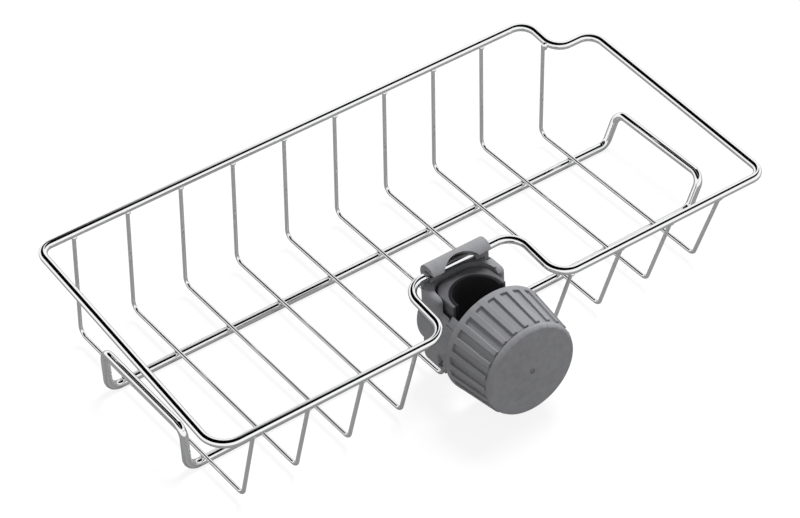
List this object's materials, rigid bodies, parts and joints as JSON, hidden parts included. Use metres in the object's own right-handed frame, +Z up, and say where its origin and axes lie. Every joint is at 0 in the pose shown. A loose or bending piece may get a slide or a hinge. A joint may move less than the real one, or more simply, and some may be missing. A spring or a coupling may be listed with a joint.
{
  "type": "sponge holder",
  "caption": "Chromed wire sponge basket with a plastic clamp that grips a tap's spout pipe with a ribbed screw knob.",
  "frame": {"origin": "on the gripped pipe's axis, level with the knob's axis", "axes": "+X along the basket to the right, +Y from the knob towards the basket's back, +Z up along the pipe"},
  "size_m": [0.2589, 0.1466, 0.0597],
  "materials": {
    "chromed_wire": "polished",
    "grey_plastic": "fine satin mould texture",
    "black_rubber": "matte"
  },
  "bodies": {
    "rack": {"rim_wire": "chromed_wire", "base_frame_wire": "chromed_wire", "cross_wire_01": "chromed_wire", "cross_wire_02": "chromed_wire", "cross_wire_03": "chromed_wire", "cross_wire_04": "chromed_wire", "cross_wire_05": "chromed_wire", "cross_wire_06": "chromed_wire", "cross_wire_07": "chromed_wire", "cross_wire_08": "chromed_wire", "cross_wire_09": "chromed_wire", "cross_wire_10": "chromed_wire", "clamp_body": "grey_plastic", "pipe_saddle": "grey_plastic", "saddle_liner": "black_rubber"},
    "pusher": {"pad_carrier": "grey_plastic", "pressure_pad": "black_rubber"},
    "knob": {"knob_sleeve": "grey_plastic", "knob_cap": "grey_plastic"}
  },
  "joints": [
    {"name": "pusher_slide", "type": "slide", "parent": "rack", "child": "pusher", "axis": [0, 1, 0], "range_m": [-0.0055, 0.0055]},
    {"name": "knob_turn", "type": "hinge", "parent": "pusher", "child": "knob", "pos_m": [0, -0.0199, 0], "axis": [0, 1, 0], "range_deg": [-450, 450]}
  ],
  "couplings": [
    {"joint": "pusher_slide", "follows": "knob_turn", "m_per_rad": 0.00063662}
  ]
}
